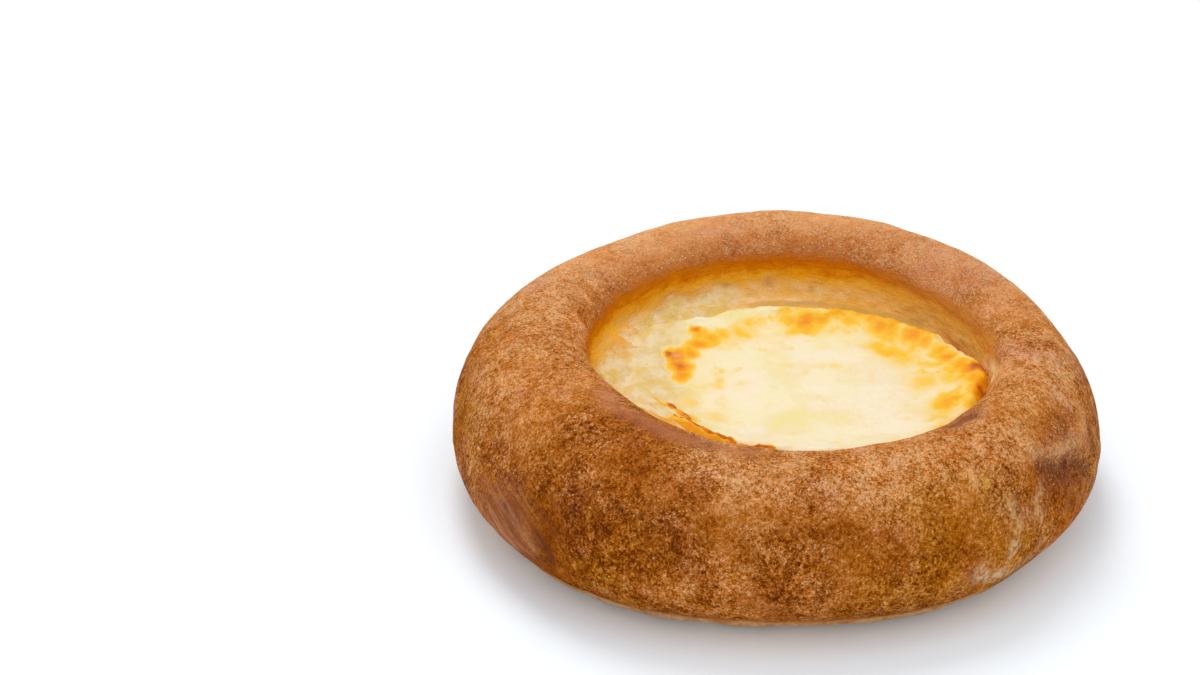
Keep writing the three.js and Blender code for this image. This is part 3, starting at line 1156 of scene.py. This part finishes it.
# On the left the curd has no raised edge: it was smeared out over the ledge of the dough. Later the far edge
# shrank back from the wall, but not at the far left, and the right end ran up it. Angles are in degrees from
# the filling's own middle, and what lies near the edge is a share of the way out to it.
skin_start = {"up": 0.0188, "fade": 0.0012}
skin_relief = {"grain": 0.0060, "depth": 3, "height": 0.0008}
edge = {"out": 0.78, "fade": 0.20}
edge_relief = {"grain": 0.0030, "depth": 2, "height": 0.0018}
smear = {"angle": 178, "half_width": 50, "turn_fade": 20, "out": 0.55, "fade": 0.4}
smear_start = {"up": 0.0180, "fade": 0.0015}
smear_relief = {"grain": 0.0034, "depth": 3, "height": 0.0026}
smear_moves = {"out": 0.0100, "up": 0.0005}
smear_rim = {"out": 0.82, "fade": 0.16, "up": -0.0020}
edge_moves = {
    "far_lip": {
        "arc": {"angle": 69.90, "half_width": 42.97, "turn_fade": 25.78, "out": 0.55, "fade": 0.4},
        "move": {"Y": -0.0016, "Z": -0.0003},
    },
    "far_left": {
        "arc": {"angle": 134.65, "half_width": 28.65, "turn_fade": 17.19, "out": 0.62, "fade": 0.3},
        "move": {"X": -0.0012, "Y": 0.0022},
    },
}
right_end = {"middle": Vector((0.0345, -0.0005, 0)), "reach": 0.0085, "move": {"X": 0.0015, "Z": 0.0003}}
# Along the near left the edge curled over and scorched, in lines as seen from above
curl_ridge = ((-0.0187, -0.0106), (-0.0179, -0.0125), (-0.0169, -0.0145), (-0.0158, -0.0164))
curl_trail = ((-0.0220, -0.0085), (-0.0209, -0.0095), (-0.0195, -0.0109))
curl_line = (
    (-0.0182, -0.0156),
    (-0.0162, -0.0169),
    (-0.0126, -0.0196),
    (-0.0090, -0.0219),
    (-0.0079, -0.0232),
)
curl_end = ((-0.0079, -0.0233), (-0.0061, -0.0240), (-0.0041, -0.0246), (-0.0018, -0.0255))
curled = {"width": 0.0009, "up": 0.0007, "end_share": 0.3}


def on_skin(point):
    """1 on the top of the filling, 0 on its side."""
    return smooth_step((point.z - skin_start["up"]) / skin_start["fade"])


def far_out(point, start):
    """1 near the filling's edge, falling to 0 where a zone starts and further in."""
    away = point - filling_middle
    out = math.hypot(away.x / well["oval"][0], away.y / well["oval"][1]) / side
    return smooth_step((out - start["out"]) / start["fade"])


def on_arc(point, arc):
    """1 on the filling's edge round the middle of an arc, 0 past its half width and further in."""
    away = point - filling_middle
    turn = (math.degrees(math.atan2(away.y, away.x)) - arc["angle"] + 180) % 360 - 180
    return smooth_step((arc["half_width"] - abs(turn)) / arc["turn_fade"]) * far_out(point, arc)


def smeared(point):
    """1 on the filling's top edge where it was smeared, 0 a quarter of the way round from there."""
    return on_arc(point, smear) * smooth_step((point.z - smear_start["up"]) / smear_start["fade"])


def on_curl(point):
    """1 along the curled edge, and less along its end."""
    beside = [near_line(point, line, curled["width"]) for line in (curl_ridge, curl_line, curl_end)]
    return max(beside[0], beside[1], curled["end_share"] * beside[2])


def shift_along(piece, group, move):
    """Moves what a vertex group holds along the axes named."""
    for axis, amount in move.items():
        displace(piece, amount, group, axis)


smear_group = weigh(filling, "smear", smeared)
rim_group = weigh(filling, "smear_rim", lambda point: smeared(point) * far_out(point, smear_rim))
smear_out = outward(smear["angle"]) * smear_moves["out"]
shift_along(filling, smear_group, {"X": smear_out.x, "Y": smear_out.y, "Z": smear_moves["up"]})
roughen(filling, "smeared_curd", smear_relief, smear_group, "Z")
displace(filling, smear_rim["up"], rim_group, "Z")
skin_group = weigh(filling, "skin", on_skin)
edge_group = weigh(filling, "edge", lambda point: on_skin(point) * far_out(point, edge))
roughen(filling, "curd_lumps", skin_relief, skin_group)
roughen(filling, "ragged_edge", edge_relief, edge_group, "Z")
for name, part in edge_moves.items():
    part_group = weigh(filling, name, lambda point: on_skin(point) * on_arc(point, part["arc"]))
    shift_along(filling, part_group, part["move"])
right_group = weigh(
    filling,
    "right_end",
    lambda point: on_skin(point)
    * smooth_step(1 - (point - right_end["middle"]).to_2d().length / right_end["reach"]),
)
shift_along(filling, right_group, right_end["move"])
displace(filling, curled["up"], weigh(filling, "curl", on_curl), "Z")
filling.vertex_groups.clear()

# The colours that the curd's skin goes through as it scorches, from a share of 0 to 1
scorching = (
    (0.00, (0.88, 0.750, 0.510)),
    (0.20, (0.89, 0.670, 0.270)),
    (0.36, (0.91, 0.550, 0.040)),
    (0.52, (0.91, 0.410, 0.003)),
    (0.68, (0.86, 0.280, 0.005)),
    (0.84, (0.55, 0.140, 0.012)),
    (1.00, (0.28, 0.055, 0.010)),
)
skin_lemon = (0.85, 0.725, 0.300, 1)
skin_white = (0.93, 0.850, 0.680, 1)
olive_curd = (0.68, 0.470, 0.100, 1)
rosy_core = (0.86, 0.420, 0.190, 1)
olive_spots = (
    ((-0.0246, -0.0040, 0.0200), 0.0022),
    ((-0.0209, -0.0115, 0.0204), 0.0020),
    ((-0.0226, -0.0005, 0.0204), 0.0022),
)
rosy_core_spot = ((-0.0170, 0.0073, 0.0206), 0.0011, 0.0004, 0.8)
# Where it scorched most: (place, radius, share)
scorched_places = (
    ((-0.0171, 0.0073, 0.0205), 0.0031, 0.78),
    ((-0.0184, 0.0075, 0.0208), 0.0018, 0.84),
    ((-0.0167, 0.0044, 0.0201), 0.0034, 0.80),
    ((-0.0166, 0.0020, 0.0198), 0.0032, 0.66),
    ((-0.0149, 0.0083, 0.0207), 0.0030, 0.62),
    ((-0.0130, 0.0112, 0.0212), 0.0032, 0.66),
    ((-0.0112, 0.0130, 0.0213), 0.0034, 0.56),
    ((-0.0136, 0.0152, 0.0218), 0.0019, 0.86),
    ((-0.0132, 0.0140, 0.0216), 0.0028, 0.50),
    ((-0.0090, 0.0148, 0.0212), 0.0030, 0.46),
    ((-0.0057, 0.0157, 0.0209), 0.0032, 0.40),
    ((-0.0020, 0.0188, 0.0213), 0.0030, 0.30),
    ((0.0035, 0.0192, 0.0212), 0.0030, 0.50),
    ((0.0062, 0.0189, 0.0212), 0.0038, 0.70),
    ((0.0087, 0.0190, 0.0213), 0.0036, 0.58),
    ((0.0100, 0.0198, 0.0219), 0.0022, 0.50),
    ((0.0042, 0.0165, 0.0207), 0.0032, 0.42),
    ((0.0070, 0.0172, 0.0207), 0.0036, 0.52),
    ((0.0142, 0.0185, 0.0214), 0.0030, 0.48),
    ((0.0194, 0.0164, 0.0215), 0.0036, 0.60),
    ((0.0211, 0.0152, 0.0214), 0.0034, 0.50),
    ((0.0190, 0.0110, 0.0202), 0.0050, 0.38),
    ((0.0215, 0.0093, 0.0201), 0.0045, 0.40),
    ((0.0249, 0.0135, 0.0213), 0.0036, 0.64),
    ((0.0270, 0.0116, 0.0211), 0.0034, 0.55),
    ((0.0294, 0.0084, 0.0211), 0.0032, 0.52),
    ((0.0303, 0.0057, 0.0211), 0.0032, 0.64),
    ((0.0322, 0.0023, 0.0217), 0.0034, 0.58),
    ((0.0336, -0.0001, 0.0224), 0.0032, 0.62),
    ((0.0349, 0.0001, 0.0227), 0.0032, 0.92),
    ((0.0362, 0.0001, 0.0218), 0.0036, 1.00),
    ((0.0344, -0.0037, 0.0225), 0.0042, 0.58),
    ((0.0357, -0.0040, 0.0218), 0.0032, 0.60),
    ((0.0354, -0.0064, 0.0214), 0.0030, 0.95),
    ((0.0341, -0.0078, 0.0208), 0.0036, 0.52),
    ((0.0328, -0.0110, 0.0211), 0.0036, 0.46),
    ((0.0301, -0.0014, 0.0212), 0.0050, 0.36),
    ((0.0261, -0.0017, 0.0203), 0.0055, 0.34),
    ((0.0231, 0.0072, 0.0203), 0.0050, 0.34),
    ((0.0309, -0.0095, 0.0212), 0.0040, 0.26),
    ((0.0282, -0.0116, 0.0205), 0.0045, 0.34),
    ((0.0105, 0.0035, 0.0205), 0.0030, 0.25),
    ((0.0080, 0.0032, 0.0205), 0.0026, 0.22),
    ((-0.0099, -0.0017, 0.0195), 0.0025, 0.28),
    ((-0.0061, -0.0022, 0.0202), 0.0030, 0.22),
    ((-0.0112, -0.0127, 0.0197), 0.0055, 0.26),
    ((-0.0153, -0.0081, 0.0200), 0.0045, 0.30),
    ((-0.0187, -0.0103, 0.0206), 0.0017, 1.00),
    ((-0.0160, -0.0150, 0.0210), 0.0030, 0.46),
)
# A scorched place spreads a little past its radius, and its colour runs out softly
spot_spread = 1.30
spot_ragged = 0.45
# The patches of the skin: (how many in a metre, detail, which, where they start, where they are full)
skin_patches = {
    "faint": (170.0, 3.0, 1.0, 0.42, 0.62),
    "faint_small": (340.0, 3.0, 3.0, 0.52, 0.68),
    "band": (150.0, 4.0, 5.0, 0.42, 0.62),
    "gathered": (300.0, 3.0, 31.0, 0.34, 0.66),
    "curl": (500.0, 3.0, 6.0, 0.36, 0.64),
    "lemon": (110.0, 4.0, 7.0, 0.42, 0.62),
    "white": (90.0, 4.0, 8.0, 0.42, 0.58),
}
# Where zones of the skin start and where they are full, as shares of the way from the filling's middle to its
# edge, all round or along x or y, or by how far the skin is scorched
skin_zones = {
    "far": (-0.35, 0.15),
    "right": (0.40, 0.75),
    "outer": (0.40, 0.90),
    "band": (0.58, 0.82),
    "band_edge": (0.97, 0.90),
    "band_right": (-0.35, -0.05),
    "pale_edge": (0.90, 0.95),
    "pale_far": (-0.25, 0.05),
    "unscorched": (0.34, 0.10),
    "lemon_left": (0.70, -0.30),
    "smeared": (-0.74, -0.95),
    "smeared_unscorched": (0.32, 0.14),
}
# Along the curled edge a golden band lies under a thin brown line: (line, shift, width, share)
curl_marks = (
    (curl_trail, (0, 0, 0), 0.0007, 0.55),
    (curl_ridge, (0, 0, 0), 0.0012, 0.70),
    (curl_line, (-0.0003, -0.0010, 0), 0.0015, 0.58),
    (curl_end, (0, -0.0003, 0), 0.0007, 0.60),
    (curl_ridge, (0.0003, 0.0004, 0), 0.0005, 0.88),
    (curl_line, (0, 0, 0), 0.00035, 0.80),
    (curl_end, (0, 0, 0), 0.0004, 0.86),
)
# How far the curd ran before it set, and the noises of that, of the curl's marks and of the skin's wrinkles
run = 0.0026
run_noise_size = {"Scale": 330.0, "Detail": 2.0}
mark_noise = (700.0, 3.0, 0.6)
mark_wandering = 0.0004
skin_noise = (650.0, 4.0, 0.6)
skin_bumps = {"Strength": 0.5, "Distance": 0.0005}
olive_soft = 0.95

filling_finish = {"Roughness": 0.5, "Specular IOR Level": 0.2}
filling_tree, filling_shader, filling_look = material("baked_curd_skin", filling_finish)
spread = add(filling_tree, "ShaderNodeTexCoord").outputs["Object"]
skin_axes, to_edge = seen_from(spread, filling_middle, (well["oval"][0] * side, well["oval"][1] * side))
# The places of the spots as the curd ran, so that they come out uneven
run_noise = add(filling_tree, "ShaderNodeTexNoise", {"Vector": spread, **run_noise_size})
run_back = vector_maths("ADD", spread, (-run / 2, -run / 2, 0))
drifted = vector_maths("MULTIPLY_ADD", run_noise.outputs["Color"], (run, run, 0), run_back)


def skin_mask(name):
    """The patches of one name on the skin."""
    return patched(spread, *skin_patches[name])


def skin_zone(value, name):
    """The zone of one name by a value."""
    return share(value, *skin_zones[name])


# How far the skin is scorched: a little more toward the far and right edge, in faint mottles, and most at the
# scorched places, where neighbours gather into one stain, and along the curled edge
beside = maths("MAXIMUM", skin_zone(skin_axes["Y"], "far"), skin_zone(skin_axes["X"], "right"))
scorched = times(times(skin_zone(to_edge, "outer"), beside), 0.20)
scorched = plus(scorched, times(skin_mask("faint"), 0.09), times(skin_mask("faint_small"), 0.12))
band = times(skin_zone(to_edge, "band"), skin_zone(to_edge, "band_edge"))
band = times(times(band, skin_mask("band")), beside)
scorched = plus(scorched, times(times(band, skin_zone(skin_axes["X"], "band_right")), 0.30))
pale_edge = times(skin_zone(to_edge, "pale_edge"), skin_zone(skin_axes["Y"], "pale_far"))
scorched = times(scorched, plus(times(pale_edge, -0.85), 1.0))
gathered = 0.0
for middle, radius, amount in scorched_places:
    scorched_spot = times(spotted(drifted, middle, spot_spread * radius, spot_ragged * radius, 1.0), amount)
    scorched = maths("MAXIMUM", scorched, scorched_spot)
    gathered = plus(gathered, scorched_spot)
mottled = plus(0.62, times(skin_mask("gathered"), 0.50))
gathered = times(maths("MINIMUM", times(gathered, 0.55), 0.42), mottled)
scorched = maths("MAXIMUM", scorched, gathered)
flat_skin = vector_maths("MULTIPLY", spread, (1.0, 1.0, 0.0))
skin_wander = times(round_zero(noise(spread, *mark_noise)), mark_wandering)
for line, shift, width, amount in curl_marks:
    uneven = plus(0.80, times(skin_mask("curl"), 0.28))
    shifted = [Vector(place).to_3d() + Vector(shift) for place in line]
    mark = line_mask(flat_skin, shifted, width, skin_wander)
    scorched = maths("MAXIMUM", scorched, times(times(mark, amount), uneven))
skin = through(scorched, scorching)

# Where it isn't scorched the skin is mottled lemon and white. Out on the ledge at the left the curd stayed
# rough, in cream and yellowish crumbs.
unscorched = skin_zone(scorched, "unscorched")
lemon = times(skin_mask("lemon"), skin_zone(skin_axes["X"], "lemon_left"))
skin = over(times(lemon, unscorched), skin, skin_lemon, 0.85)
skin = over(times(skin_mask("white"), unscorched), skin, skin_white, 0.45)
smeared_left = times(skin_zone(skin_axes["X"], "smeared"), skin_zone(scorched, "smeared_unscorched"))
crumbs = blend(patched(spread, *curd_crumbs), apron_cream, apron_yellow)
skin = over(smeared_left, skin, crumbs, 0.85)
for middle, radius in olive_spots:
    skin = over(spotted(drifted, middle, radius, radius, olive_soft), skin, olive_curd, 0.6)
skin = over(spotted(drifted, *rosy_core_spot), skin, rosy_core, 0.7)

connect(filling_shader.inputs["Base Color"], skin)
skin_wrinkles = noise(spread, *skin_noise)
filling_bump = add(filling_tree, "ShaderNodeBump", {"Height": skin_wrinkles, **skin_bumps})
connect(filling_shader.inputs["Normal"], filling_bump.outputs[0])
finish_mesh(filling, filling_look)
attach(filling, "root")
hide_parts("curd_filling")
